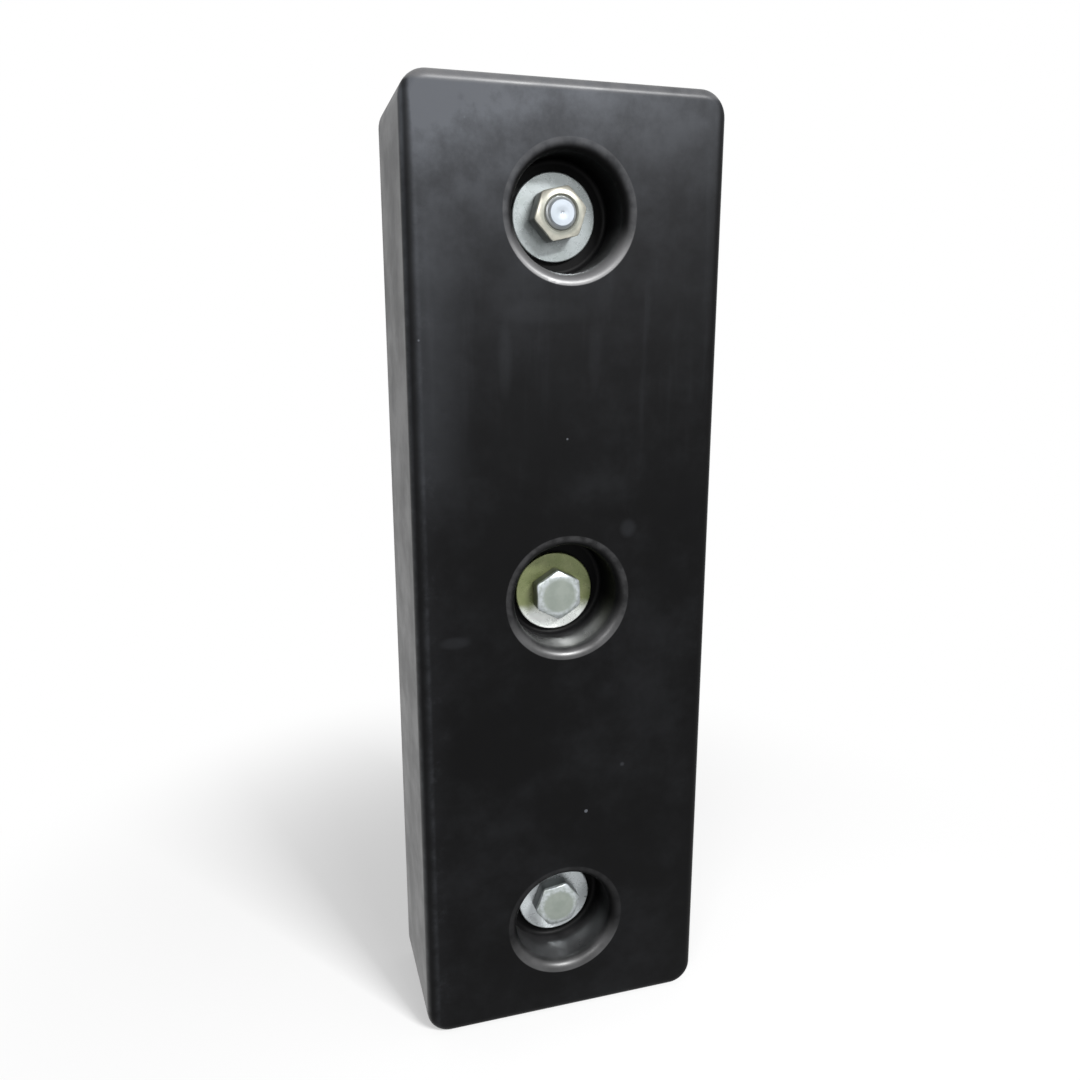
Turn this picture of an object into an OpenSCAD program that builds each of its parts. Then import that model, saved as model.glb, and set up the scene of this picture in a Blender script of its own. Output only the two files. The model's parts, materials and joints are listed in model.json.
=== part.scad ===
// Impact protector for a loading bay, a conveyor end or a wall corner.
// One moulded rubber block takes the knocks. Three M16 fixings hold it to the wall,
// each set so deep in a counterbore that whatever strikes the block never reaches the steel.
//
// Frame: the origin is the middle of the face that lies against the wall.
// X runs across the block, Z runs up it, and the struck face looks along -Y.

/* [Rubber block] */
// Width across the wall
block_w = 160; // [120:1:220]
// Height up the wall
block_h = 500; // [460:1:800]
// How far the block stands off the wall
block_t = 75; // [60:1:110]
// Radius of the four corners of the outline
corner_r = 13; // [8:0.5:20]
// Radius of the edge that runs all round the struck face
edge_r = 5; // [2:0.5:7]

/* [Fixing holes] */
// Distance from each end of the block to the middle of the nearest fixing hole
end_margin = 59; // [52:1:100]
// Bore of each counterbore
counterbore_d = 56; // [55:0.5:66]
// Depth of the counterbore's floor below the struck face
counterbore_depth = 28; // [26:0.5:36]
// Radius that rounds the counterbore's mouth
mouth_r = 5.5; // [2:0.5:7]
// Radius at the foot of the counterbore's wall
foot_r = 2.5; // [1:0.5:3]
// Hole in the floor that the shank passes through, wide enough to suit anchors drilled by hand
passage_d = 25; // [22:0.5:27]

/* [Washers] */
// Outer diameter of a washer
washer_d = 43; // [38:0.5:45]
// Hole in a washer
washer_hole_d = 18; // [17.5:0.5:19]
// Thickness of a washer
washer_t = 3; // [2:0.5:4]
// Rounding that the press leaves on a washer's upper rim
washer_rim_r = 0.6; // [0.2:0.1:1]
// Share of the play in its hole by which the upper washer hangs low
washer_hang = 0.8; // [0:0.1:0.9]

/* [Threads and shanks] */
// Outer diameter of the thread
thread_d = 16; // [14:0.5:16.5]
// Diameter of the plain shank beside the thread
shank_d = 14.7; // [12:0.1:14.8]
// Chamfer on each thread's end
thread_chamfer = 2; // [0.5:0.1:2.6]
// How far a thread starts before the wall face
thread_lead = 2; // [1:0.5:6]

/* [Hexagons] */
// Distance across the flats of the nut and of the bolt heads
hex_af = 24; // [22:0.5:27]
// Share of the flats' distance that the round chamfer leaves flat
chamfer_share = 0.9; // [0.86:0.01:0.96]
// Slope of the chamfer on the hexagon's corners, in degrees
chamfer_slope = 30; // [20:1:35]
// Height of a bolt head
head_h = 10; // [8:0.5:11]
// Height of the round bearing face under a bolt head
bearing_h = 0.6; // [0.4:0.1:1]
// Height of the nut
nut_h = 13; // [12:0.1:16]
// Gap all round between the nut's bore and the stud's thread
nut_gap = 0.1; // [0.05:0.05:0.2]
// Width of the countersink at each end of the nut's bore
nut_countersink = 0.9; // [0.5:0.1:1.2]

/* [Places in the wall] */
// How far the upper stud stands to the left of its hole's middle
upper_left = 0.9; // [0:0.1:1.4]
// How far the upper stud stands above its hole's middle
upper_high = 1; // [0:0.1:2]
// How far the middle bolt sits below its hole's middle
middle_low = 2.8; // [0:0.1:2.9]
// How far the lower bolt sits to the right of its hole's middle
lower_right = 0.6; // [0:0.1:1.4]
// How far the lower bolt sits below its hole's middle
lower_low = 1.2; // [0:0.1:2]

/* [Lengths and turns] */
// How far the two bolts reach into the wall
bolt_reach = 40; // [25:1:80]
// How far the upper stud reaches into the wall
stud_reach = 61; // [30:1:100]
// How far the stud stands out of its nut
stud_proud = 1.5; // [1:0.5:6]
// Length of the stud's thread at the nut's end
nut_thread_len = 30; // [24:1:36]
// Turn of the upper nut about its axis, in degrees
nut_turn = 13; // [0:1:59]
// Turn of the middle bolt's head, in degrees
middle_turn = 32; // [0:1:59]
// Turn of the lower bolt's head, in degrees
lower_turn = 8; // [0:1:59]

/* [Hidden] */
$fn = 96;
hexagon = 6;
cut = 1;
upper_z = block_h / 2 - end_margin;
middle_z = 0;
lower_z = -upper_z;
floor_y = block_t - counterbore_depth;
seat_y = floor_y + washer_t;
counterbore_r = counterbore_d / 2;
mouth_outer_r = counterbore_r + mouth_r;
washer_drop = washer_hang * (washer_hole_d - thread_d) / 2;
chamfer_flat_r = hex_af / 2 * chamfer_share;
hex_corner_r = hex_af / 2 / cos(30);
nut_bore_r = thread_d / 2 + nut_gap;

rubber_black = [0.13, 0.13, 0.14];
zinc_blue = [0.70, 0.75, 0.76];
zinc_olive = [0.58, 0.62, 0.50];
bolt_grey = [0.62, 0.67, 0.64];
nut_ivory = [0.84, 0.82, 0.76];

// Turns a shape drawn flat, with the struck face upwards, so that its height runs along -Y.
module off_the_wall() {
    rotate([90, 0, 0]) children();
}

// Places shapes on the axis of the hole at the given height up the block.
module at_hole(height) {
    translate([0, 0, height]) off_the_wall() children();
}

// The axes of the three fixings, which stand where the wall's anchors are.
module at_upper_fixing() {
    translate([-upper_left, 0, upper_high]) at_hole(upper_z) children();
}

module at_middle_fixing() {
    translate([0, 0, -middle_low]) at_hole(middle_z) children();
}

module at_lower_fixing() {
    translate([lower_right, 0, -lower_low]) at_hole(lower_z) children();
}

// The block's outline, drawn smaller by the inset all round.
module block_outline(inset) {
    w = block_w - 2 * inset;
    h = block_h - 2 * inset;
    r = corner_r - inset;
    square([w - 2 * r, h], center = true);
    square([w, h - 2 * r], center = true);
    for (sx = [-1, 1], sy = [-1, 1])
        translate([sx * (w / 2 - r), sy * (h / 2 - r)]) circle(r);
}

// A quarter of a disc, the section of every rounded outer edge.
module quarter_disc(r) {
    intersection() {
        circle(r);
        square(r);
    }
}

// The rounded edge along one straight side, drawn with its length along Y.
module side_edge(length) {
    rotate([90, 0, 0])
        translate([0, 0, -length / 2])
            linear_extrude(length) quarter_disc(edge_r);
}

// The rounded edge round one corner of the outline.
module corner_edge() {
    rotate_extrude(angle = 90)
        translate([corner_r - edge_r, 0]) quarter_disc(edge_r);
}

// The last few millimetres below the struck face, where the block's edge is rounded.
module rounded_front() {
    linear_extrude(edge_r) block_outline(edge_r);
    side_x = block_w / 2 - edge_r;
    side_y = block_h / 2 - edge_r;
    for (turn = [0, 180]) rotate(turn) {
        translate([side_x, 0, 0]) side_edge(block_h - 2 * corner_r);
        rotate(90) translate([side_y, 0, 0]) side_edge(block_w - 2 * corner_r);
        translate([block_w / 2 - corner_r, block_h / 2 - corner_r, 0]) corner_edge();
        translate([corner_r - block_w / 2, block_h / 2 - corner_r, 0]) rotate(90) corner_edge();
    }
}

// Half the section of one counterbore: a straight wall that flares at its mouth
// and curves in at its foot.
module counterbore_section() {
    difference() {
        translate([0, floor_y]) square([counterbore_r, counterbore_depth + cut]);
        translate([counterbore_r - foot_r, floor_y]) difference() {
            square(foot_r);
            translate([0, foot_r]) circle(foot_r);
        }
    }
    difference() {
        translate([0, block_t - mouth_r]) square([mouth_outer_r, mouth_r + cut]);
        translate([mouth_outer_r, block_t - mouth_r]) circle(mouth_r);
    }
}

// All that one fixing needs taken out of the rubber.
module fixing_hole() {
    rotate_extrude() counterbore_section();
    translate([0, 0, -cut]) cylinder(h = floor_y + 2 * cut, d = passage_d);
}

module rubber_block() {
    color(rubber_black) difference() {
        off_the_wall() {
            linear_extrude(block_t - edge_r) block_outline(0);
            translate([0, 0, block_t - edge_r]) rounded_front();
        }
        for (height = [upper_z, middle_z, lower_z]) at_hole(height) fixing_hole();
    }
}

// A punched washer that lies on the counterbore's floor, with its upper rim rounded by the press.
module washer() {
    translate([0, 0, floor_y]) rotate_extrude() difference() {
        translate([washer_hole_d / 2, 0]) square([(washer_d - washer_hole_d) / 2, washer_t]);
        translate([washer_d / 2 - washer_rim_r, washer_t - washer_rim_r]) difference() {
            square(washer_rim_r + cut);
            circle(washer_rim_r);
        }
    }
}

// Only the upper washer isn't centred on its fixing: it hangs low by the play in its hole.
module upper_washer() {
    color(zinc_blue) at_upper_fixing() translate([0, -washer_drop, 0]) washer();
}

module middle_washer() {
    color(zinc_olive) at_middle_fixing() washer();
}

module lower_washer() {
    color(zinc_blue) at_lower_fixing() washer();
}

// Half the section of a turned blank: flat in the middle, sloping off towards the hexagon's corners.
module chamfer_section(height) {
    drop = (hex_corner_r + cut - chamfer_flat_r) * tan(chamfer_slope);
    polygon([
        [0, 0],
        [hex_corner_r + cut, 0],
        [hex_corner_r + cut, height - drop],
        [chamfer_flat_r, height],
        [0, height]
    ]);
}

// A hexagon whose top corners are turned off round, as on a bolt head.
module chamfered_hexagon(height) {
    intersection() {
        linear_extrude(height) circle(r = hex_corner_r, $fn = hexagon);
        rotate_extrude() chamfer_section(height);
    }
}

// A stretch of thread as a plain cylinder, chamfered at its far end.
module thread(length) {
    cylinder(h = length - thread_chamfer, d = thread_d);
    translate([0, 0, length - thread_chamfer])
        cylinder(h = thread_chamfer, d1 = thread_d, d2 = thread_d - 2 * thread_chamfer);
}

// The end that screws into the wall. It starts inside the block and points along +Y.
module wall_thread(reach) {
    translate([0, 0, thread_lead]) mirror([0, 0, 1]) thread(reach + thread_lead);
}

// A hexagon bolt: chamfered head, bearing face, plain shank and wall thread.
module bolt(turn) {
    translate([0, 0, seat_y]) cylinder(h = bearing_h, r = chamfer_flat_r);
    translate([0, 0, seat_y + bearing_h]) rotate(turn) chamfered_hexagon(head_h - bearing_h);
    translate([0, 0, thread_lead]) cylinder(h = seat_y - thread_lead, d = shank_d);
    wall_thread(bolt_reach);
}

module middle_bolt() {
    color(bolt_grey) at_middle_fixing() bolt(middle_turn);
}

module lower_bolt() {
    color(bolt_grey) at_lower_fixing() bolt(lower_turn);
}

// The stud ends a little above the nut. Its waist between the two threads is plain.
module upper_stud() {
    tip_y = seat_y + nut_h + stud_proud;
    nut_thread_y = tip_y - nut_thread_len;
    color(zinc_blue) at_upper_fixing() {
        translate([0, 0, nut_thread_y]) thread(nut_thread_len);
        translate([0, 0, thread_lead]) cylinder(h = nut_thread_y - thread_lead, d = shank_d);
        wall_thread(stud_reach);
    }
}

// Half the section of the nut's bore, opened by a countersink at both ends.
module nut_bore_section() {
    mouth = nut_bore_r + nut_countersink;
    polygon([
        [0, -cut],
        [mouth + cut, -cut],
        [nut_bore_r, nut_countersink],
        [nut_bore_r, nut_h - nut_countersink],
        [mouth + cut, nut_h + cut],
        [0, nut_h + cut]
    ]);
}

// A hexagon nut, turned off round at the corners of both faces.
module upper_nut() {
    color(nut_ivory) at_upper_fixing() translate([0, 0, seat_y]) rotate(nut_turn) difference() {
        intersection() {
            chamfered_hexagon(nut_h);
            translate([0, 0, nut_h]) mirror([0, 0, 1]) chamfered_hexagon(nut_h);
        }
        rotate_extrude() nut_bore_section();
    }
}

rubber_block();
upper_washer();
middle_washer();
lower_washer();
upper_stud();
upper_nut();
middle_bolt();
lower_bolt();
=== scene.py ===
# %% [markdown]
# The object is an impact protector, a dock bumper: one moulded block of black rubber, held to a
# wall by three M16 fixings that sit deep in counterbores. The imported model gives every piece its
# true size and place, so this lesson only adds what a drawing leaves out: finishes, threads, light
# and a camera. The model could be built again by eye, but then nothing would fit. Loading it first
# and measuring from it keeps every new surface where the real piece is.

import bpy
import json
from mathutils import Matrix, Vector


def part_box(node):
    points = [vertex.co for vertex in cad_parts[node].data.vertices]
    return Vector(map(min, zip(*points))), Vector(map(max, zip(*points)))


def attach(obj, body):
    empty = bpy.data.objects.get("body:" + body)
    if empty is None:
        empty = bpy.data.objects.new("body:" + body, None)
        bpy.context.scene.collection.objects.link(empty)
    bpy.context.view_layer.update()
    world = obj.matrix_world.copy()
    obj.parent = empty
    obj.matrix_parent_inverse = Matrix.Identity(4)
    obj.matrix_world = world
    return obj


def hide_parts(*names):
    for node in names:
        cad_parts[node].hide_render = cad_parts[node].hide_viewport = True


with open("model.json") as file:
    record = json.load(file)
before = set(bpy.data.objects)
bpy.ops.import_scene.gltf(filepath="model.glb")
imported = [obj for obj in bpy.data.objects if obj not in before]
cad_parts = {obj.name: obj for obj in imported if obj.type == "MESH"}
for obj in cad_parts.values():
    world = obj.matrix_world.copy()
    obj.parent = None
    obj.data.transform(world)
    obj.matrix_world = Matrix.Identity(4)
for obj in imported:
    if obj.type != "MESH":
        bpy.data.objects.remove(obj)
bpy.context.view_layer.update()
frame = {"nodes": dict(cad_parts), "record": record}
print("nodes:", ", ".join(sorted(frame["nodes"])))

# %% [markdown]
# Blender works in metres, but a fitter thinks of bolts in millimetres. One factor turns the
# shop's millimetres into Blender's metres wherever a size is written down. All grids are worked
# out with numpy, because a whole surface in one array is quicker than a loop over its points. Two
# small functions read where a fixing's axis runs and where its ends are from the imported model.

# %% Units and imports
import json

import bpy
import numpy as np
from mathutils import Vector

MM = 0.001
scene = bpy.context.scene


def axis_of(node):
    """The x and z of a fixing's axis in millimetres: the middle of its node's box."""
    low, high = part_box(node)
    return (low.x + high.x) / 2 / MM, (low.z + high.z) / 2 / MM


def rises_of(node):
    """How far a node's two ends stand off the wall in millimetres, the front end first."""
    low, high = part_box(node)
    return -low.y / MM, -high.y / MM


for node in ("upper_nut", "middle_bolt", "lower_bolt"):
    print(node, "on the axis x {:.1f}, z {:.1f} mm".format(*axis_of(node)))

# %% [markdown]
# The camera stands where the photographer stood: to the left of the block, a little above its
# middle, and close enough for strong perspective. A camera can be set by eye, but here its yaw,
# pitch and focal length come from a fit of the block's edges, so the outline falls where it does
# in the picture. It looks down a little, but it isn't rolled and its lens isn't shifted.

# %% Camera
camera_spot = np.array([-0.1426, -0.5069, 0.1387])
camera_yaw, camera_pitch = 0.2864, 0.2316
frame_width_px, focal_px, sensor_mm = 1080, 909, 36.0

camera_data = bpy.data.cameras.new("camera")
camera_data.sensor_width = sensor_mm
camera_data.lens = sensor_mm * focal_px / frame_width_px
camera = bpy.data.objects.new("camera", camera_data)
camera.location = camera_spot
camera.rotation_euler = (np.pi / 2 - camera_pitch, 0, -camera_yaw)
scene.collection.objects.link(camera)
scene.camera = camera
scene.view_settings.view_transform = "Standard"
print(f"lens {camera_data.lens:.1f} mm")

# %% [markdown]
# Materials in Blender are small circuits of nodes. Writing each link by hand hides what the
# finish is about, so a few short helpers add a node, feed its inputs and hand back its output.
# A value that is the same all over a surface is set straight on the shader instead.

# %% Helpers for wiring a material
def add_node(tree, kind, inputs=None, **settings):
    """Adds one node, sets its properties, and fills its inputs with numbers or with links."""
    node = tree.nodes.new(kind)
    for name, value in settings.items():
        setattr(node, name, value)
    for key, value in (inputs or {}).items():
        socket = node.inputs[key]
        if isinstance(value, bpy.types.NodeSocket):
            tree.links.new(value, socket)
        else:
            socket.default_value = value
    return node


def new_finish(name, base_color, metallic, roughness, specular=0.5):
    """A material with plain values in its shader, handed back with its circuit and that shader."""
    material = bpy.data.materials.new(name)
    material.use_nodes = True
    tree = material.node_tree
    shader = tree.nodes["Principled BSDF"]
    shader.inputs["Base Color"].default_value = (*base_color, 1)
    shader.inputs["Metallic"].default_value = metallic
    shader.inputs["Roughness"].default_value = roughness
    shader.inputs["Specular IOR Level"].default_value = specular
    return material, tree, shader


def remap(tree, value, low, high, to_low=0.0, to_high=1.0):
    """Stretches value from low..high to to_low..to_high with soft ends, and holds it there."""
    node = add_node(tree, "ShaderNodeMapRange", {
        "Value": value, "From Min": low, "From Max": high,
        "To Min": to_low, "To Max": to_high}, interpolation_type="SMOOTHSTEP")
    return node.outputs["Result"]


def combine(tree, operation, *values):
    """One step of arithmetic between numbers or links."""
    inputs = dict(enumerate(values))
    return add_node(tree, "ShaderNodeMath", inputs, operation=operation).outputs[0]


def blend(tree, factor, first, second):
    """A colour between first and second, by factor."""
    node = add_node(tree, "ShaderNodeMix", data_type="RGBA")
    for index, value in ((0, factor), (6, first), (7, second)):
        if isinstance(value, bpy.types.NodeSocket):
            tree.links.new(value, node.inputs[index])
        else:
            node.inputs[index].default_value = value
    return node.outputs[2]


def grain(tree, scale, detail=4.0, roughness=0.55, stretch=(1, 1, 1), spot=(0, 0, 0)):
    """Noise in the object's own metres, scale cycles to the metre, stretched along the axes."""
    place = add_node(tree, "ShaderNodeTexCoord").outputs["Object"]
    place = add_node(tree, "ShaderNodeMapping", {
        "Vector": place, "Location": spot, "Scale": stretch}).outputs["Vector"]
    return add_node(tree, "ShaderNodeTexNoise", {
        "Vector": place, "Scale": scale, "Detail": detail, "Roughness": roughness}
    ).outputs["Fac"]


# %% [markdown]
# A finish of many masks needs the same few things again and again: where a point lies, several
# shares multiplied, added, or the largest of them, and noise turned into shares. Blender's Math
# node takes two or three numbers at a time, so one helper runs an operation along a row of
# values. The lines further down then read like the sentences that they stand for.

# %% Helpers for masks
def coordinates(tree):
    """The X, Y and Z of a point in the object's own metres."""
    place = add_node(tree, "ShaderNodeTexCoord").outputs["Object"]
    return add_node(tree, "ShaderNodeSeparateXYZ", {"Vector": place}).outputs


def chain(tree, operation, first, *others):
    """One operation run along a row of values, from the first to the last."""
    for other in others:
        first = combine(tree, operation, first, other)
    return first


def product(tree, *values):
    """All values multiplied: a point counts as far as it lies in every mask."""
    return chain(tree, "MULTIPLY", *values)


def total(tree, *values):
    """All values added."""
    return chain(tree, "ADD", *values)


def largest(tree, *values):
    """The largest of the values: a point counts as far as it lies in any mask."""
    return chain(tree, "MAXIMUM", *values)


def past(tree, value, start, end, edge=0.0):
    """Nought at start and one at end, both in millimetres from an edge that is in metres."""
    return remap(tree, value, edge + start * MM, edge + end * MM)


def patches(tree, scale, low, high, least, most, **shape):
    """Noise turned into shares: least where it is under low, most where it is over high."""
    return remap(tree, grain(tree, scale, **shape), low, high, least, most)


# %% [markdown]
# Moulded rubber is nearly black, and its gloss and wear depend on the place. Painting the places
# by hand would work on this block alone. Here masks, worked out from the block's own metres, say
# how far a point lies on the struck face, on a side, on a rounded edge, in a hole or on its lip.
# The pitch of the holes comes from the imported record, so the masks follow the drawing if its
# sizes change. Rounding the height to whole pitches finds the nearest hole without a loop.

# %% Where a point of the rubber lies
rubber_color = (0.0022, 0.0022, 0.0024)
rubber, tree, shader = new_finish("rubber", rubber_color, 0.0, 0.45)
axis = coordinates(tree)
across = combine(tree, "ABSOLUTE", axis["X"])
block_low, block_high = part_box("rubber_block")

openings = {box["name"]: box["box_m"] for box in frame["record"]["physics"]["openings"]}
hole_pitch = sum(corner[2] for corner in openings["upper_counterbore_front"]) / 2
level = combine(tree, "DIVIDE", axis["Z"], hole_pitch)
above_hole = combine(tree, "MULTIPLY", hole_pitch, combine(
    tree, "SUBTRACT", level, combine(tree, "ROUND", level)))
off_axis = combine(tree, "SQRT", combine(
    tree, "MULTIPLY_ADD", above_hole, above_hole, combine(tree, "MULTIPLY", across, across)))

mouth_radius = 33.5 * MM
in_hole = past(tree, off_axis, 0.4, -0.2, mouth_radius)
on_lip = past(tree, axis["Y"], 9, 4, block_low.y)
off_floor = past(tree, axis["Y"], 28, 23, block_low.y)
lower_third = past(tree, above_hole, -3, -25)
on_front = past(tree, axis["Y"], 5, 0.5, block_low.y)
on_back = past(tree, axis["Y"], -2, -0.5, block_high.y)
on_side = past(tree, across, -2.4, -0.1, block_high.x)
on_fillet = product(tree, past(tree, across, -6.5, -2.8, block_high.x),
                    combine(tree, "SUBTRACT", 1.0, on_side))
on_top_edge = product(tree, past(tree, axis["Z"], -6.2, -3.8, block_high.z),
                      past(tree, axis["Y"], 5.8, 2.8, block_low.y))
print("hole pitch", round(hole_pitch, 4), "m")

# %% [markdown]
# Years of weather and handling leave a thin grey bloom on rubber, and the same paler base colour
# also paints the sheen that light from above and from the left puts on the struck face. So it is
# thickest at the upper end, thins out downwards, and reaches a little lower on the left than on the
# right; that grading is painted light. It is a paler base colour and not a gloss. An exponential of
# the height gives its long, soft end, and noise breaks it up into smudges. One flat black would
# look like a hole in the picture.

# %% Bloom and painted sheen
# Painted light: the paler colour grows towards the top and the left, where the face catches light.
FULL_BLOOM_AND_SHEEN_HEIGHT, FADE, LEAN = 0.25, 0.037, -0.3
climb = combine(tree, "MULTIPLY_ADD", axis["X"], LEAN, axis["Z"])
below_full = combine(tree, "SUBTRACT", climb, FULL_BLOOM_AND_SHEEN_HEIGHT)
smudges = patches(tree, 42, 0.3, 0.72, 0.6, 1.3, detail=7, roughness=0.66)
bloom_and_sheen = product(tree, combine(tree, "EXPONENT", combine(tree, "DIVIDE", below_full, FADE)), smudges)
print(f"the bloom thins out to 37 % in every {FADE / MM:.0f} mm")

# %% [markdown]
# Over the bloom and the painted sheen lie weaker traces: runs of water, a haze all over, level
# streaks on the sides, a pale left margin with rubbed patches along its edge, a paler line on that
# edge which is a painted highlight of its rounding, and specks of dust. Most of them are noise of
# their own scale, stretched the way the trace runs, times the mask of their place. A painted
# texture would do too, but the block would have to be unwrapped for it. The specks are the middles
# of
# Voronoi cells, of which about one in five is kept.

# %% Runs, haze, streaks, dust and a painted edge highlight
runs = product(tree, patches(tree, 120, 0.5, 0.8, 0, 0.06, detail=3, stretch=(1, 1, 0.09)),
               remap(tree, axis["Z"], 0.02, 0.13))
haze = patches(tree, 14, 0.42, 0.75, 0, 0.07, detail=6, roughness=0.7, spot=(5, 0, 2))
edge_rub = product(tree, remap(tree, axis["X"], -0.060, -0.077),
                   patches(tree, 70, 0.5, 0.72, 0.03, 0.16, detail=6, roughness=0.75))
side_streaks = product(tree, on_side, patches(
    tree, 150, 0.4, 0.72, 0.05, 0.45, detail=5, roughness=0.65, stretch=(1, 0.12, 1)))
off_margin = combine(tree, "ABSOLUTE", combine(tree, "SUBTRACT", axis["Z"], 0.12))
margin = product(tree, remap(tree, axis["X"], -0.045, -0.070),
                 remap(tree, off_margin, 0.08, 0.045, 0, 0.13))
# Painted highlight: a paler line on the struck face along its left edge, where the rounding shines.
painted_edge_highlight = product(tree, remap(tree, axis["X"], -0.0725, -0.0745), on_front, patches(
    tree, 110, 0.35, 0.7, 0.03, 0.17, detail=5, roughness=0.7, spot=(1, 4, 0)))

SPECK_SHARE, KEPT_ABOVE = 0.9, 0.78
place = add_node(tree, "ShaderNodeTexCoord").outputs["Object"]
cells = add_node(tree, "ShaderNodeTexVoronoi", {"Vector": place, "Scale": 42.0}).outputs
cell_number = add_node(tree, "ShaderNodeSeparateColor", {"Color": cells["Color"]}).outputs["Red"]
dust = product(tree, remap(tree, cells["Distance"], 0.028, 0.016), SPECK_SHARE,
               combine(tree, "GREATER_THAN", cell_number, KEPT_ABOVE))
pale = total(tree, runs, haze, edge_rub, dust, side_streaks, margin, painted_edge_highlight)
print("traces: 7")

# %% [markdown]
# Single marks stand out on the struck face: a white speck and a dot low down, a round patch, a
# scuff near the left edge, and the traces of two runs with a level one over them. Decals could
# carry them, but a formula needs no surface of its own. Each mark is a soft ellipse: the distances
# from its middle, measured in half widths and half heights, are squared and added, and the mark
# fades from its middle to where that sum is one.

# %% Single marks
MARKS = (  # across and up in mm, half width, half height, share of bloom
    (11.3, -124.2, 1.2, 1.2, 2.2), (32.2, -98.7, 1.6, 1.5, 0.2), (32.5, 35.8, 5.5, 6.0, 0.10),
    (-60.5, -18.5, 10, 4.0, 0.08), (-32.9, 122, 4.5, 22, 0.05), (13, 126, 4.5, 22, 0.035),
    (-13, 145, 26, 7, 0.04))


def off_middle(tree, value, middle, half):
    """The square of how many halves a value lies from the middle, both in millimetres."""
    away = combine(tree, "DIVIDE", combine(tree, "SUBTRACT", value, middle * MM), half * MM)
    return combine(tree, "MULTIPLY", away, away)


for mark_x, mark_z, half_width, half_height, share in MARKS:
    spread = total(tree, off_middle(tree, axis["X"], mark_x, half_width),
                   off_middle(tree, axis["Z"], mark_z, half_height))
    pale = total(tree, pale, remap(tree, spread, 1.0, 0.0, 0, share))
print("marks:", len(MARKS))

# %% [markdown]
# The bloom and the painted sheen lie thickest on the struck face, thinner on the faces that are
# turned away, and mostly kept off the rounded left and right edges, which stay dark. Inside the
# holes there is none.
# The mask for that goes by the distance from a hole's axis, which would catch the back as well,
# so the back is let in again.

# %% Where the bloom and painted sheen lie
BLOOM_AND_SHEEN_ON_OTHER_FACES, LESS_ON_FILLETS = 0.4, 0.85
by_face = combine(
    tree, "MULTIPLY_ADD", on_front, 1 - BLOOM_AND_SHEEN_ON_OTHER_FACES, BLOOM_AND_SHEEN_ON_OTHER_FACES)
off_fillets = combine(tree, "MULTIPLY_ADD", on_fillet, -LESS_ON_FILLETS, 1.0)
outside = largest(tree, past(tree, off_axis, -4.2, -1.0, mouth_radius), on_back)
bloom_and_sheen = product(tree, total(tree, bloom_and_sheen, pale), by_face, off_fillets, outside)
bloom_and_sheen_color = (0.060, 0.064, 0.072, 1)
color = blend(tree, bloom_and_sheen, (*rubber_color, 1), bloom_and_sheen_color)
print("bloom colour", bloom_and_sheen_color[:3])

# %% [markdown]
# Where goods and spanners rub, black rubber turns grey: on the rims of the holes, on their lower
# lips, and in patches along the upper edge. On the lower lips that grey is also a painted
# highlight, strongest at the upper hole, where light from above falls on them; along the upper
# edge it also paints the highlight on the rounding, stronger to the left. Dust greys the lower
# walls of the holes. The four shares don't add up, because a place is rubbed only once, so the
# largest of them counts.

# %% Rubbed places and painted highlights
polish = product(tree, in_hole, lower_third, on_lip)
wall_share = product(tree, in_hole, off_floor, lower_third)
rim = product(tree, past(tree, off_axis, -4.5, -1.5, mouth_radius),
              past(tree, off_axis, 0.3, -0.3, mouth_radius),
              patches(tree, 160, 0.35, 0.65, 0.2, 0.5),
              remap(tree, axis["Z"], -0.25, 0.2, 0.15, 0.8), on_lip)
# Painted highlight: the lower lips are greyed most at the upper hole, where light from above falls.
worn_lip_and_painted_highlight = product(tree, polish, remap(tree, axis["Z"], -0.05, 0.2, 0.05, 0.85))
wall_dust = product(tree, wall_share, patches(tree, 90, 0.3, 0.7, 0.15, 0.4, detail=5))
# Painted highlight: the rounding of the upper edge is greyed, more on the left.
top_rub_and_painted_highlight = product(tree, on_top_edge, remap(tree, axis["X"], -0.06, 0.07, 1.2, 0.7), patches(
    tree, 75, 0.33, 0.66, 0.4, 1.0, detail=6, roughness=0.65, spot=(0, 3, 0)))
rubbed_and_highlit = largest(tree, rim, worn_lip_and_painted_highlight, wall_dust, top_rub_and_painted_highlight)
rubbed_and_highlight_color = (0.085, 0.085, 0.088, 1)
tree.links.new(blend(tree, rubbed_and_highlit, color, rubbed_and_highlight_color), shader.inputs["Base Color"])
print("rubbed colour", rubbed_and_highlight_color[:3])

# %% [markdown]
# Gloss is what the eye reads as rubber. The struck face hardly shines, the lower walls of the
# holes shine most, and their lips, the upper edge and the lower part of the sides lie between.
# The share of mirrored light is the shader's specular level, and how blurred it is, is the
# roughness. Both are built from the same masks. With even values the block would look painted.

# %% Gloss
FACE_SHARE, WALL_SHARE, LIP_SHARE = 0.065, 0.9, 0.55
off_lip = combine(tree, "SUBTRACT", 1.0, on_lip)
mirror_share = total(
    tree, product(tree, wall_share, off_lip, WALL_SHARE), product(tree, polish, LIP_SHARE),
    FACE_SHARE, product(tree, on_side, remap(tree, axis["Z"], 0.18, -0.14, 0.03, 0.17)),
    product(tree, on_top_edge, remap(tree, axis["X"], -0.07, 0.07, 0.28, 0.06)))
tree.links.new(mirror_share, shader.inputs["Specular IOR Level"])

blur = patches(tree, 35, 0.3, 0.7, 0.41, 0.5, detail=6, roughness=0.65, spot=(3, 1, 2))
for mask, change in ((wall_share, -0.16), (polish, 0.07), (on_side, -0.10), (on_top_edge, -0.12)):
    blur = combine(tree, "MULTIPLY_ADD", mask, change, blur)
tree.links.new(blur, shader.inputs["Roughness"])
print(f"specular level {FACE_SHARE} on the face, {FACE_SHARE + WALL_SHARE:.3f} in the holes")

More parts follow.
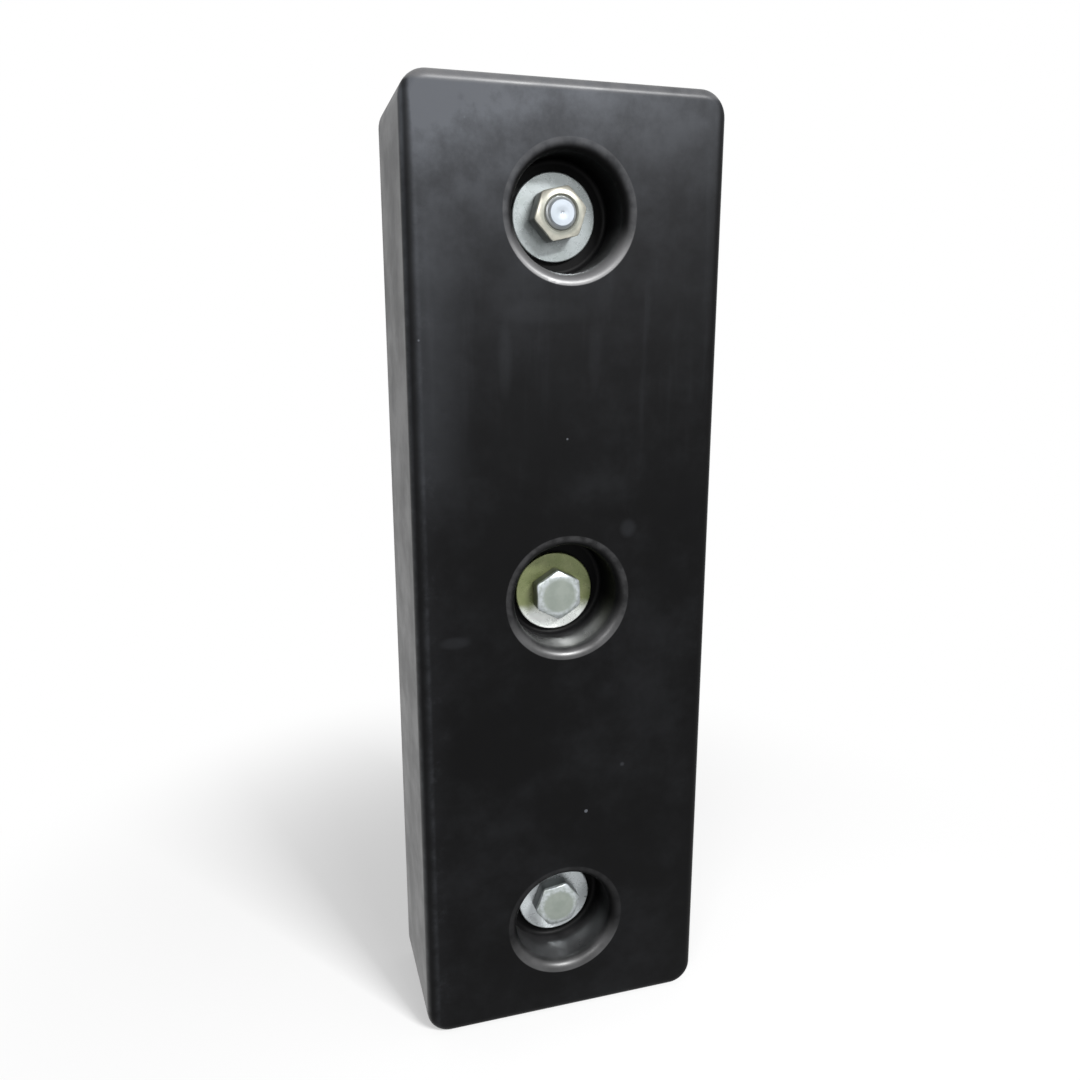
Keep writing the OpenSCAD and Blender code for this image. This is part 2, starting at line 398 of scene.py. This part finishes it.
# %% [markdown]
# A fine relief breaks up the highlights: pores everywhere, and on the sides level lines twice as
# deep, where the mould was milled. All of it is a few hundredths of a millimetre deep, so it stays
# in the material as a bump. Every form that one could feel as an edge is geometry.

# %% Fine relief
LINES_TO_PORES = 2.0
skin = grain(tree, 900, detail=3, roughness=0.6)
side_lines = grain(tree, 260, detail=4, roughness=0.7, stretch=(0.02, 0.06, 1))
relief = combine(
    tree, "MULTIPLY_ADD", product(tree, side_lines, on_side), LINES_TO_PORES, skin)
bump = add_node(tree, "ShaderNodeBump", {
    "Strength": 0.25, "Distance": 0.02 * MM, "Height": relief})
tree.links.new(bump.outputs["Normal"], shader.inputs["Normal"])
frame["nodes"]["rubber_block"].data.materials[0] = rubber
print("rubber nodes:", len(tree.nodes))

# %% [markdown]
# The steel is zinc plated: bluish on two washers and the stud, olive on the third washer, a duller
# grey-green on the bolt heads and a warm white on the nut. Polished metal would be set to fully
# metallic. Half metallic gives the soft, milky shine of zinc under its passivate. The five finishes
# share one recipe, a cloudy colour and a slightly uneven roughness, so one function makes them all.

# %% Plated steel
MILKY_METAL, CLOUD_SCALE, UNEVEN = 0.5, 120, 0.02


def plated_steel(name, color, dull_color, roughness):
    """Metal whose colour drifts in clouds towards a duller one, of slightly uneven roughness."""
    material, tree, shader = new_finish(name, color, MILKY_METAL, roughness)
    cloud = patches(tree, CLOUD_SCALE, 0.35, 0.68, 0, 1, detail=5, roughness=0.6)
    tint = blend(tree, cloud, (*color, 1), (*dull_color, 1))
    tree.links.new(tint, shader.inputs["Base Color"])
    rough = patches(tree, CLOUD_SCALE * 2.3, 0.3, 0.7, roughness - UNEVEN, roughness + UNEVEN)
    tree.links.new(rough, shader.inputs["Roughness"])
    return material


PLATINGS = {  # colour, duller colour and roughness
    "washer_zinc": ((0.26, 0.285, 0.29), (0.22, 0.245, 0.245), 0.28),
    "washer_olive": ((0.18, 0.20, 0.095), (0.135, 0.16, 0.065), 0.28),
    "stud_zinc": ((0.30, 0.33, 0.365), (0.26, 0.29, 0.32), 0.30),
    "nut_plate": ((0.26, 0.265, 0.23), (0.21, 0.215, 0.185), 0.32),
    "bolt_zinc": ((0.235, 0.262, 0.235), (0.195, 0.222, 0.198), 0.30)}
plated = {slot: plated_steel(slot, *looks) for slot, looks in PLATINGS.items()}
for node_name, slot in (("upper_washer", "washer_zinc"), ("lower_washer", "washer_zinc"),
                        ("middle_washer", "washer_olive")):
    frame["nodes"][node_name].data.materials[0] = plated[slot]
print("plated finishes:", ", ".join(plated))

# %% [markdown]
# The olive passivate of the middle washer has worn off towards its lower rim, where bare zinc
# shines whitish. That whitish lower part is also painted light, for the light that falls below
# the shade of the lip. A second material slot would end in a hard line, and a CAD node's mesh
# isn't changed anyway. So one helper lays a second colour over a finish by a share, and here the
# share follows the height of a point, made ragged by noise. The same helper makes the lower washer
# brighter than the upper one, and that is painted light: they share a material, and the height
# tells them apart.

# %% Worn washers, with painted light on the lower ones
def overlay(material, share, color):
    """Lays a colour over what the material already shows, by share."""
    tree = material.node_tree
    socket = tree.nodes["Principled BSDF"].inputs["Base Color"]
    tree.links.new(blend(tree, share, socket.links[0].from_socket, (*color, 1)), socket)


tree = plated["washer_olive"].node_tree
washer_z = axis_of("middle_washer")[1] * MM
ragged = combine(tree, "MULTIPLY_ADD", grain(tree, 150), 6 * MM, coordinates(tree)["Z"])
# Partly worn passivate, partly painted light: the whitish lower part lies below the lip's shade.
overlay(plated["washer_olive"], past(tree, ragged, -2, -11, washer_z), (0.70, 0.73, 0.71))

tree = plated["washer_zinc"].node_tree
# Painted light: the washer that lies lower is made brighter, not for a finish of its own.
overlay(plated["washer_zinc"], past(tree, coordinates(tree)["Z"], 50, -50), (0.50, 0.535, 0.55))
print("olive above", round(washer_z, 4), "m")

# %% [markdown]
# A spanner's socket rubs the rounded edge of a head bright and leaves its middle dull, and the
# bright flecks on that edge also paint its glints of light. The flats behind the edge are darkened
# as painted shade, for they lie deep in the counterbore. The first follows the distance from the
# fixing's own axis, which a function measures, and the second the depth behind the end face.
# Colours painted on the points would be as coarse as the mesh, and distances aren't. In the same
# way the stud's chamfer is painted a little darker than its sawn end, as shade, and the nut's upper
# half is darkened, partly by grime and partly as painted shade that tones down its upper chamfer.

# %% Rubbed edges, painted glints and painted shade
def off_axes(tree, nodes):
    """Distance of a point from the nearest of the nodes' axes, seen along the fixings."""
    point = coordinates(tree)
    nearest = 1.0
    for x, z in map(axis_of, nodes):
        across = combine(tree, "SUBTRACT", point["X"], x * MM)
        up = combine(tree, "SUBTRACT", point["Z"], z * MM)
        distance = combine(tree, "SQRT", combine(
            tree, "MULTIPLY_ADD", across, across, combine(tree, "MULTIPLY", up, up)))
        nearest = combine(tree, "MINIMUM", distance, nearest)
    return nearest


def rub_edge_paint_glints_and_shade(slot, nodes, ring, least, fleck_and_glint_color, shaded_flats_color):
    """Bright flecks and painted glints on the ring, and painted shade on the flats behind the face.
    """
    tree = plated[slot].node_tree
    flecks_and_glints = patches(tree, 420, 0.35, 0.62, least, 0.9, detail=3)
    overlay(plated[slot], product(tree, past(tree, off_axes(tree, nodes), *ring), flecks_and_glints), fleck_and_glint_color)
    face = -rises_of(nodes[0])[0] * MM
    overlay(plated[slot], past(tree, coordinates(tree)["Y"], 2.3, 3.3, face), shaded_flats_color)


# Painted glints on the edges of the heads and nut, and painted shade on their flats.
rub_edge_paint_glints_and_shade("bolt_zinc", ("middle_bolt", "lower_bolt"), (8.0, 10.5), 0.3,
         (0.42, 0.45, 0.47), (0.055, 0.062, 0.062))
rub_edge_paint_glints_and_shade("nut_plate", ("upper_nut",), (9.6, 11.2), 0.55,
         (0.44, 0.43, 0.37), (0.035, 0.035, 0.027))

tree = plated["stud_zinc"].node_tree
# Painted shade: the stud's chamfer is made a little darker than its sawn end.
chamfer_shade = past(tree, off_axes(tree, ("upper_nut",)), 6.3, 7.0)
overlay(plated["stud_zinc"], chamfer_shade, (0.27, 0.285, 0.29))

tree = plated["nut_plate"].node_tree
nut_z = axis_of("upper_nut")[1] * MM
# Partly dust, partly painted shade: the nut's upper half is darker, which tones down its chamfer.
grime_and_painted_shade = remap(tree, coordinates(tree)["Z"], nut_z + 3 * MM, nut_z + 11 * MM, 0, 0.75)
overlay(plated["nut_plate"], grime_and_painted_shade, (0.13, 0.125, 0.105))
print("rubbed edges: 2, dark chamfer: 1, grimy nut: 1")

# %% [markdown]
# Every turned or headed piece can be drawn the same way: a row of rings, one below the other
# along the fixing's axis, each ring a closed loop of points. Blender's own cylinder would need
# cutting and bevelling afterwards. A grid of rings needs neither, because the shape is in the
# numbers. The first and the last ring each shrink to one point, which closes the skin. The
# shading is smooth but for edges of more than forty degrees.

# %% Rings to a closed skin
COLUMNS, SHARP_DEGREES = 144, 40
around = np.linspace(0, 2 * np.pi, COLUMNS, endpoint=False)


def ring_points(axis, radii, rises):
    """Radius and rise off the wall as points: x = x0 + r cos a, z = z0 + r sin a, y = -rise.

    axis is (x0, z0). radii and rises are millimetres, of shape (rings, COLUMNS)."""
    x = axis[0] + radii * np.cos(around)
    z = axis[1] + radii * np.sin(around)
    y = -np.broadcast_to(rises, radii.shape)
    return np.stack([x, y, z], axis=-1) * MM


def add_piece(name, vertices, faces, material, body="root"):
    """A mesh object of points and faces, smooth between its sharp edges, that rides on its body."""
    mesh = bpy.data.meshes.new(name)
    mesh.from_pydata(vertices.tolist(), [], faces)
    mesh.materials.append(material)
    mesh.shade_smooth()
    mesh.set_sharp_from_angle(angle=np.radians(SHARP_DEGREES))
    piece = bpy.data.objects.new(name, mesh)
    scene.collection.objects.link(piece)
    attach(piece, body)
    print(f"{name}: {len(vertices)} points, {len(faces)} faces")
    return piece


def skin_of_rings(name, points, material):
    """A mesh from a grid of rings whose first and last rings are single points, turned outwards.

    Quads join each ring to the next, and fans of triangles close the two ends."""
    inner = points[1:-1]
    rows, columns = inner.shape[:2]
    vertices = np.concatenate([points[0, :1], inner.reshape(-1, 3), points[-1, :1]])
    index = 1 + np.arange(rows * columns).reshape(rows, columns)
    turned = np.roll(index, -1, axis=1)
    quads = np.stack([index[:-1], turned[:-1], turned[1:], index[1:]], axis=-1).reshape(-1, 4)
    last = len(vertices) - 1
    first_fan = np.stack([np.zeros(columns, int), turned[0], index[0]], axis=-1)
    last_fan = np.stack([np.full(columns, last), index[-1], turned[-1]], axis=-1)
    faces = [*first_fan.tolist(), *quads.tolist(), *last_fan.tolist()]

    first, second, third = np.moveaxis(vertices[quads[:, :3]], 1, 0)
    normals = np.cross(second - first, third - first)
    if (normals * (first - vertices.mean(axis=0))).sum() < 0:
        faces = [face[::-1] for face in faces]
    return add_piece(name, vertices, faces, material)


# %% [markdown]
# A forged hexagon is never sharp. Its outline is six flats, each at half the spanner size from
# the axis, with slightly rounded corners. A plain six-sided circle would give knife edges. Here
# each direction asks all six flats how far away they are and takes a soft minimum, so the corners
# round off by a few tenths of a millimetre on their own.

# %% Hexagon outline
ACROSS_FLATS, CORNER_POWER = 24.0, 26


def hexagon_radius(turn_degrees):
    """Distance from the axis to the hexagon at each angle around, in millimetres.

    The soft minimum over the flats: (sum of the cosines to the flats' normals, each raised to a
    high power) raised to minus one over that power, times half the spanner size."""
    normals = np.radians(turn_degrees + 30 + 60 * np.arange(6))
    cosines = np.clip(np.cos(around[:, None] - normals), 0, None)
    return ACROSS_FLATS / 2 * (cosines ** CORNER_POWER).sum(axis=1) ** (-1 / CORNER_POWER)


print(f"corners {ACROSS_FLATS / np.sqrt(3) - hexagon_radius(0).max():.2f} mm short of sharp")

# %% [markdown]
# The end of a head is turned to a flat disc that slopes off at thirty degrees, and where that
# cone meets the flats it draws the arcs that everyone knows from bolt heads. They need no
# drawing: the slope depends on the distance from the axis, and the flats depend on the angle, so
# the arcs come out of the two formulas. A fillet of nearly half a millimetre catches the light.

# %% Chamfered end of a hexagon
FLAT_TOP_RADIUS, EDGE_FILLET = 10.8, 0.45
CHAMFER_ANGLE, CHAMFER_SOFTNESS = np.radians(30), 1.8


def soft_step(value, width):
    """Nought below nought and value above it, rounded: (value + hypot(value, width)) / 2."""
    return (value + np.hypot(value, width)) / 2


def chamfered_end(outline, top, inner_radii):
    """Rings from the inner radii out over the chamfer and its fillet to the start of the flats.

    The rise falls from the top by tan 30 times how far a point lies outside the flat disc."""
    def rise_at(radius):
        beyond = soft_step(radius - FLAT_TOP_RADIUS, CHAMFER_SOFTNESS)
        return top - np.tan(CHAMFER_ANGLE) * beyond

    edge_radius = outline - EDGE_FILLET / 2
    inner = np.repeat(np.array(inner_radii)[:, None], COLUMNS, axis=1)
    outer = inner_radii[-1] + (edge_radius - inner_radii[-1]) * np.array([[0.35], [0.7], [1.0]])
    radii = np.concatenate([inner, outer])
    rises = rise_at(radii)
    centre_rise = rise_at(outline - EDGE_FILLET) - EDGE_FILLET / np.cos(CHAMFER_ANGLE)
    turn = np.radians([45, 30, 15, 0])[:, None]
    radii = np.concatenate([radii, outline - EDGE_FILLET + EDGE_FILLET * np.cos(turn)])
    rises = np.concatenate([rises, centre_rise + EDGE_FILLET * np.sin(turn)])
    return radii, rises


print("end fillet", EDGE_FILLET, "mm")

# %% [markdown]
# An M16 thread climbs two millimetres a turn. Real threads are rolled: rounded at the root,
# flattened at the crest, and fading out where the rolling stopped. The usual ways are a screw
# modifier or a helix curve, and both leave an open seam at the ends. A straight grid of rings
# whose radius depends on height and angle has no seam, and its ends are plain rings.

# %% Thread
PITCH, CREST_RADIUS, ROOT_RADIUS, SHANK_RADIUS = 2.0, 8.0, 6.8, 7.35
ROWS_PER_TURN, TIP_CHAMFER = 14, 2.0
ROOT_SHARE, FLANK_SHARE, ROOT_BEND = 0.16, 0.70, 0.25
FADE_TURNS, FADE_POWER = 1.5, 0.6


def threaded_length(start, end, chamfer_at_start, chamfer_at_end):
    """Rings of a right-handed thread from rise start down to rise end.

    The phase is height over pitch less angle over a full turn. Its triangle wave is clipped for
    crest and root and bent a little, which softens the root. A cone at 45 degrees limits the
    radius at a tip. At the other end the wave fades into the shank over one and a half turns."""
    count = int(abs(end - start) / PITCH * ROWS_PER_TURN) + 1
    rise = np.linspace(start, end, count)[:, None]
    phase = -rise / PITCH - (np.pi / 2 - around) / (2 * np.pi)
    wave = np.abs(2 * (phase - np.floor(phase)) - 1)
    wave = np.clip((wave - ROOT_SHARE) / FLANK_SHARE, 0, 1)
    wave = wave * (1 - ROOT_BEND + ROOT_BEND * wave)
    radii = ROOT_RADIUS + (CREST_RADIUS - ROOT_RADIUS) * wave
    for chamfered, edge in ((chamfer_at_start, start), (chamfer_at_end, end)):
        distance = np.abs(rise - edge)
        if chamfered:
            radii = np.minimum(radii, CREST_RADIUS - TIP_CHAMFER + distance)
        else:
            share = np.clip(distance / (FADE_TURNS * PITCH), 0, 1)
            radii = SHANK_RADIUS + (radii - SHANK_RADIUS) * share ** FADE_POWER
    return radii, np.broadcast_to(rise, radii.shape)


print(f"M{2 * CREST_RADIUS:.0f} thread, {ROWS_PER_TURN} rings a turn")

# %% [markdown]
# A bolt is head, bearing face, shank and thread in one forging, so it is one skin from the
# middle of its head to the tip in the wall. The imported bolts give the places, and their spanner
# turn is the photograph's. The new skin has the same outline, with the rounded edges and the
# thread that the plain solid leaves out.

# %% The two bolts
SEAT = rises_of("middle_washer")[0]
HEAD_TOP, BOLT_TIP = rises_of("middle_bolt")
BEARING_HEIGHT, WALL_THREAD_START = 0.6, 2.0
BEARING_RISE = SEAT + BEARING_HEIGHT
RADII_TO_CHAMFER = [10.2, 10.5, 10.7, 10.9, 11.1, 11.4]


def plain_rings(pairs):
    """Rings of one radius and rise each, for what is round all the way."""
    pairs = np.array(pairs, float)
    ones = np.ones(COLUMNS)
    return pairs[:, :1] * ones, pairs[:, 1:] * ones


def hexagon_bolt(name, node, turn_degrees, slot):
    """A hexagon bolt as rings: head, fillets, bearing face, shank, thread and tip."""
    outline = hexagon_radius(turn_degrees)
    head = chamfered_end(outline, HEAD_TOP, [3, 6, 8, 9.5, *RADII_TO_CHAMFER])
    foot_turn = np.radians([0, -30, -60, -90])[:, None]
    foot = (outline - EDGE_FILLET + EDGE_FILLET * np.cos(foot_turn),
            BEARING_RISE + EDGE_FILLET + EDGE_FILLET * np.sin(foot_turn) * np.ones(COLUMNS))
    under = plain_rings([
        [FLAT_TOP_RADIUS + 0.15, BEARING_RISE], [FLAT_TOP_RADIUS, BEARING_RISE - 0.1],
        [FLAT_TOP_RADIUS, SEAT + 0.1], [FLAT_TOP_RADIUS - 0.1, SEAT],
        [SHANK_RADIUS + 0.3, SEAT], [SHANK_RADIUS, SEAT - 0.4],
        [SHANK_RADIUS, WALL_THREAD_START + 1]])
    thread = threaded_length(WALL_THREAD_START, BOLT_TIP, False, True)
    start = plain_rings([[0, HEAD_TOP]])
    tip = plain_rings([[4, BOLT_TIP], [0, BOLT_TIP]])
    radii, rises = (np.concatenate(parts) for parts in zip(start, head, foot, under, thread, tip))
    piece = skin_of_rings(name, ring_points(axis_of(node), radii, rises), plated[slot])
    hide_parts(node)


hexagon_bolt("bolt_in_middle", "middle_bolt", 32, "bolt_zinc")
hexagon_bolt("bolt_at_bottom", "lower_bolt", 8, "bolt_zinc")

# %% [markdown]
# The upper fixing is a stud with a nut. Its sawn end carries the tiny dot of a centre punch, and
# its chamfered tip stands a little proud of the nut. Inside the rubber it has a plain waist. The
# same rings make it: a dimple, a flat end, a chamfer, a thread, the waist and the thread in the
# wall. A cylinder with a bump texture would be lighter, but its outline would have no thread.

# %% The stud
STUD_TIP, STUD_WALL_TIP = rises_of("upper_stud")
NUT_THREAD_LENGTH = 30
NUT_THREAD_END = STUD_TIP - NUT_THREAD_LENGTH
upper_axis = axis_of("upper_nut")

dimple = plain_rings([[0, STUD_TIP - 0.5], [0.5, STUD_TIP - 0.25], [0.9, STUD_TIP - 0.03],
                      [1.1, STUD_TIP], [4, STUD_TIP]])
nut_end = threaded_length(STUD_TIP, NUT_THREAD_END, True, False)
waist = plain_rings([[SHANK_RADIUS, NUT_THREAD_END - 1], [SHANK_RADIUS, WALL_THREAD_START + 1]])
wall_end = threaded_length(WALL_THREAD_START, STUD_WALL_TIP, False, True)
tip = plain_rings([[4, STUD_WALL_TIP], [0, STUD_WALL_TIP]])
radii, rises = (np.concatenate(parts) for parts in zip(dimple, nut_end, waist, wall_end, tip))
stud = skin_of_rings("stud_at_top", ring_points(upper_axis, radii, rises), plated["stud_zinc"])
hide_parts("upper_stud")

# %% [markdown]
# A nut is a ring, so its skin has no end points: it runs out over one face, down the flats, back
# over the other face and up the bore to where it began. The first ring is used again as the
# last, and that closes it. The rings are walked backwards, so that the faces turn outwards. The
# bore is plain, because the stud fills it to a tenth of a millimetre, and only its two
# countersinks show.

# %% The nut
NUT_TOP = rises_of("upper_nut")[0]
BORE_RADIUS, COUNTERSINK = 8.1, 0.9


def skin_of_loop(name, points, material):
    """A mesh from a grid of rings that closes on itself both ways, like a tyre."""
    rows, columns = points.shape[:2]
    index = np.arange(rows * columns).reshape(rows, columns)
    turned, below = np.roll(index, -1, axis=1), np.roll(index, -1, axis=0)
    quads = np.stack([index, turned, np.roll(below, -1, axis=1), below], axis=-1).reshape(-1, 4)
    return add_piece(name, points.reshape(-1, 3), quads.tolist(), material)


nut_outline = hexagon_radius(13)
mouth = BORE_RADIUS + COUNTERSINK
front = chamfered_end(nut_outline, NUT_TOP, [mouth + 0.05, mouth + 0.3, *RADII_TO_CHAMFER])
back = front[0][::-1], SEAT + NUT_TOP - front[1][::-1]
bore = plain_rings([[mouth, SEAT + 0.05], [BORE_RADIUS, SEAT + COUNTERSINK],
                    [BORE_RADIUS, NUT_TOP - COUNTERSINK], [mouth, NUT_TOP - 0.05]])
radii, rises = (np.concatenate(parts) for parts in zip(front, back, bore))
outwards = ring_points(upper_axis, radii, rises)[:, ::-1]
nut = skin_of_loop("nut_at_top", outwards, plated["nut_plate"])
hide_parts("upper_nut")

# %% [markdown]
# The block stands on a plain pale floor that runs out of sight. A backdrop could hide the
# horizon, but it would also hide the back of the object from the other views. So the floor turns
# white half a metre from the block's middle, and near the block it keeps the shadow. In
# reflections it is nearly white everywhere.

# %% Floor
def seen_directly(tree):
    """One for camera rays, glossy rays and rays through glass, nought for scattered light."""
    path = add_node(tree, "ShaderNodeLightPath").outputs
    return largest(tree, path["Is Camera Ray"], path["Is Glossy Ray"], path["Is Transmission Ray"])


FLOOR_HALF, SHADOW_REACH, WHITE_FROM = 12.0, 0.25, 0.5
LEAST_WHITE, WHITE_IN_REFLECTIONS = 0.4, 0.9
floor_corners = [(side_x * FLOOR_HALF, side_y * FLOOR_HALF, block_low.z)
                 for side_x, side_y in ((-1, -1), (1, -1), (1, 1), (-1, 1))]
floor_mesh = bpy.data.meshes.new("floor")
floor_mesh.from_pydata(floor_corners, [], [(0, 1, 2, 3)])
floor_finish, tree, shader = new_finish("floor", (0.88, 0.88, 0.88), 0.0, 0.9, specular=0.1)
place = add_node(tree, "ShaderNodeTexCoord").outputs["Object"]
away = add_node(tree, "ShaderNodeVectorMath", {"Vector": place}, operation="LENGTH").outputs[1]
glossy = add_node(tree, "ShaderNodeLightPath").outputs["Is Glossy Ray"]
whiteness = product(tree, remap(tree, away, SHADOW_REACH, WHITE_FROM, LEAST_WHITE, 1.0),
                    seen_directly(tree))
whiteness = largest(tree, whiteness, product(tree, glossy, WHITE_IN_REFLECTIONS))
glow = add_node(tree, "ShaderNodeEmission", {"Color": (1, 1, 1, 1), "Strength": 1.0})
mixed = add_node(tree, "ShaderNodeMixShader", {
    0: whiteness, 1: shader.outputs["BSDF"], 2: glow.outputs["Emission"]})
tree.links.new(mixed.outputs[0], tree.nodes["Material Output"].inputs["Surface"])
floor_mesh.materials.append(floor_finish)
floor = bpy.data.objects.new("floor", floor_mesh)
scene.collection.objects.link(floor)
print("floor at", round(block_low.z, 4))

# %% [markdown]
# The photograph is cut out on white. So the world is white to the camera, and to reflections as
# well, because metal needs something bright to mirror. Matt surfaces get only a quarter of that
# light: a world that lit them fully would drown the lamps and their shadows.

# %% World
WORLD_LIGHT = 0.25
world = bpy.data.worlds.new("world")
world.use_nodes = True
scene.world = world
tree = world.node_tree
strength = combine(tree, "MULTIPLY_ADD", seen_directly(tree), 1 - WORLD_LIGHT, WORLD_LIGHT)
background = tree.nodes["Background"]
background.inputs["Color"].default_value = (1, 1, 1, 1)
tree.links.new(strength, background.inputs["Strength"])
print("world light on matt surfaces", WORLD_LIGHT)

# %% [markdown]
# The real block was lit from above and in front: the lips of the counterbores shade the upper
# half of each washer, and the lower lips shine. The key lamp gives that, from the upper right. It
# is small enough for the shadows to have an edge. The hall lamp beside it, tall and soft, stands
# for a bright open front that edges and metal mirror. The door lamp, on the left, puts crescents
# on the heads and a second streak on the lips. One large lamp would be simpler, but its shadows
# would have no edge. All three shine towards the block's middle.

# %% Lamps
def soft_lamp(name, spot, width, height, watts):
    """A lamp, width by height in metres, at spot, that shines towards the origin."""
    data = bpy.data.lights.new(name, "AREA")
    data.shape, data.size, data.size_y, data.energy = "RECTANGLE", width, height, watts
    lamp = bpy.data.objects.new(name, data)
    lamp.location = spot
    lamp.rotation_mode = "QUATERNION"
    lamp.rotation_quaternion = (-Vector(spot)).to_track_quat("-Z", "Y")
    scene.collection.objects.link(lamp)


soft_lamp("key", (0.51, -1.25, 0.90), 0.44, 0.11, 31)
soft_lamp("hall", (0.25, -1.38, 0.92), 0.35, 1.1, 6)
soft_lamp("door", (-0.75, -1.4, 0.65), 0.6, 0.6, 8)
print("lamps: 3")
